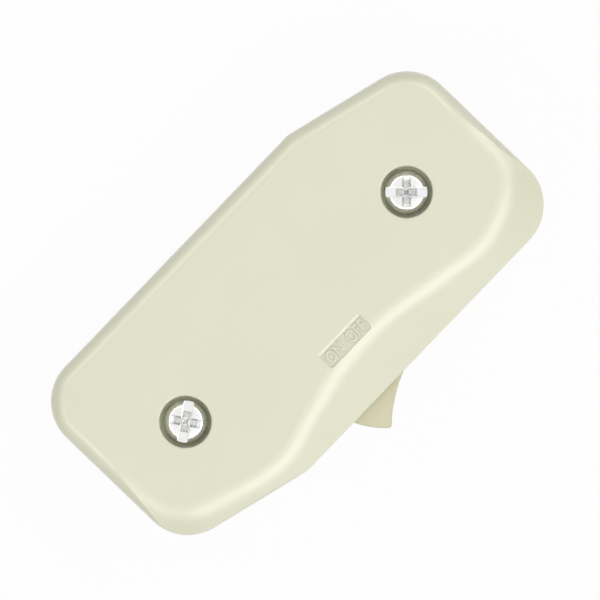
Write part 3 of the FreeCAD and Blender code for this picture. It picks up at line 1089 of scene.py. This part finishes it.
@dataclass(frozen=True)
class SoftBox:
    """Large soft lamp that faces the switch.

    Args:
        name: Name of the lamp.
        azimuth: Direction in plan from +X, in degrees.
        zenith: Angle down from straight overhead, in degrees.
        length: Size along the ring round the switch, in metres.
        depth: Size toward overhead, in metres.
        radiance: Brightness, where 1 is white.
        distance: Distance from the switch, in metres.
    """

    name: str
    azimuth: float
    zenith: float
    length: float
    depth: float
    radiance: float
    distance: float = 0.75

    def build(self) -> None:
        """Adds the lamp, turned to face the switch."""
        across = math.radians(self.azimuth)
        down = math.radians(self.zenith)
        toward = Vector(
            (math.cos(across) * math.sin(down), math.sin(across) * math.sin(down), math.cos(down))
        )
        bpy.ops.object.light_add(type="AREA", location=toward * self.distance)
        lamp = bpy.context.object
        lamp.name = self.name
        lamp.rotation_euler = (0.0, down, across)
        lamp.data.shape = "RECTANGLE"
        lamp.data.size = self.depth
        lamp.data.size_y = self.length
        lamp.data.energy = self.radiance * math.pi * self.length * self.depth
        lamp.visible_camera = False


@dataclass
class Studio:
    """Pale floor, soft light and a camera straight overhead.

    Args:
        ambient: Brightness of the world for diffuse light.
        horizon: Brightness of the world low down in reflections.
        sky_band: Upward shares of a direction between which reflections brighten to white.
        floor_size: Side of the floor, in metres.
        floor_level: Height of the floor, just under the switch, in metres.
        floor_colour: Colour of the floor.
        floor_gloss: Least roughness of the floor.
        floor_mottle: Roughness that the floor's clouds add.
        mottle_size: Size of those clouds, in metres.
        floor_white: Share of plain white where the floor is seen.
        camera_height: Height of the camera over the switch, in metres.
        frame_width: Width of the picture at the top of the switch, in metres.
        sensor: Width of the camera's sensor, in millimetres.
        object_turn: Turn of the switch in the picture, in degrees.
        aim: X and Y of the middle of the picture, in metres.
        top: Height of the top of the switch, in metres.
        boxes: Soft lamps round the switch.
    """

    ambient: float = 0.05
    horizon: float = 0.2
    sky_band: Tuple[float, float] = (0.3, 0.9)
    floor_size: float = 6.0
    floor_level: float = -0.02 * MM
    floor_colour: Colour = (0.78, 0.78, 0.78)
    floor_gloss: float = 0.6
    floor_mottle: float = 0.1
    mottle_size: float = 0.05
    floor_white: float = 0.95
    camera_height: float = 0.80
    frame_width: float = 73.9 * MM
    sensor: float = 36.0
    object_turn: float = 46.1
    aim: Tuple[float, float] = (0.506 * MM, 0.043 * MM)
    top: float = 18 * MM
    boxes: Tuple[SoftBox, ...] = (
        SoftBox("rocker_side_box", -90.0, 32.0, 0.60, 0.26, 4.3),
        SoftBox("rocker_side_glow", -90.0, 52.0, 0.60, 0.60, 0.80),
        SoftBox("far_side_box", 90.0, 34.0, 0.50, 0.12, 4.5),
        SoftBox("far_side_glow", 90.0, 66.0, 0.80, 0.60, 0.72),
        SoftBox("right_end_box", 0.0, 34.0, 0.45, 0.12, 5.6),
        SoftBox("right_end_glow", 0.0, 62.0, 0.70, 0.60, 0.78),
        SoftBox("left_end_box", 180.0, 34.0, 0.45, 0.12, 5.2),
        SoftBox("left_end_glow", 180.0, 62.0, 0.70, 0.60, 0.72),
    )

    def build(self) -> None:
        """Adds the floor, the world's light, the lamps and the camera."""
        self.lay_floor()
        self.light_world()
        for box in self.boxes:
            box.build()
        self.set_camera()
        bpy.context.scene.view_settings.view_transform = "Standard"

    @staticmethod
    def seen_by(graph: Graph, *rays: Ray) -> Signal:
        """Tells some kinds of ray from the others.

        Args:
            graph: Graph of the floor or the world.
            rays: Kinds that are wanted.

        Returns:
            Signal that is one for the wanted kinds and zero for the others.
        """
        found = graph.add("ShaderNodeLightPath", output=rays[0].value)
        for ray in rays[1:]:
            found = found + graph.add("ShaderNodeLightPath", output=ray.value)
        return graph.ramp(found, 0.0, 1.0)

    def lay_floor(self) -> None:
        """Adds a pale floor that shows white and keeps a faint shadow."""
        start_alone()
        place = (0.0, 0.0, self.floor_level)
        bpy.ops.mesh.primitive_plane_add(size=self.floor_size, location=place)
        floor = bpy.context.object
        floor.name = "floor"
        material, graph, shader = new_material("pale_floor")
        mottle = graph.noise(graph.place(), self.mottle_size, detail=2.0)
        graph.feed(
            shader,
            {
                "Base Color": opaque(self.floor_colour),
                "Roughness": self.floor_gloss + mottle * self.floor_mottle,
                "Specular IOR Level": 0.0,
            },
        )
        white = graph.add("ShaderNodeEmission", None, {"Color": WHITE, "Strength": 1.0})
        lit = Signal(graph, shader.outputs[0])
        share = self.seen_by(graph, *Ray) * self.floor_white
        surface = graph.add("ShaderNodeMixShader", None, {0: share, 1: lit, 2: white})
        graph.feed(material.node_tree.nodes["Material Output"], {"Surface": surface})
        floor.data.materials.append(material)

    def light_world(self) -> None:
        """Gives the world an even light that looks white, and dimmer low down in reflections."""
        world = bpy.context.scene.world or bpy.data.worlds.new("studio")
        bpy.context.scene.world = world
        world.use_nodes = True
        graph = Graph(world.node_tree)
        camera = self.seen_by(graph, Ray.CAMERA)
        mirrored = self.seen_by(graph, Ray.GLOSSY, Ray.TRANSMISSION)
        direction = graph.add("ShaderNodeTexCoord", output="Generated")
        overhead = graph.ramp(graph.axis(direction, "Z"), *self.sky_band)
        sky = self.horizon + overhead * (1.0 - self.horizon)
        level = self.ambient + mirrored * (sky - self.ambient)
        strength = camera + (1.0 - camera) * level
        background = world.node_tree.nodes["Background"]
        graph.feed(background, {"Color": WHITE, "Strength": strength})

    def set_camera(self) -> None:
        """Adds the camera straight overhead, turned so that the switch lies across the frame."""
        location = (*self.aim, self.top + self.camera_height)
        bpy.ops.object.camera_add(location=location)
        camera = bpy.context.object
        camera.rotation_euler = (0.0, 0.0, -math.radians(self.object_turn))
        camera.data.sensor_width = self.sensor
        camera.data.lens = self.sensor * self.camera_height / self.frame_width
        bpy.context.scene.camera = camera


def main() -> None:
    """Builds the dressed switch and the studio round it."""
    logging.basicConfig(level=logging.INFO)
    for assembly in (Case(), RockerAssembly(), Fastening(), Works(), Studio()):
        assembly.build()
        LOG.info("%s done", type(assembly).__name__)


if __name__ == "__main__":
    main()
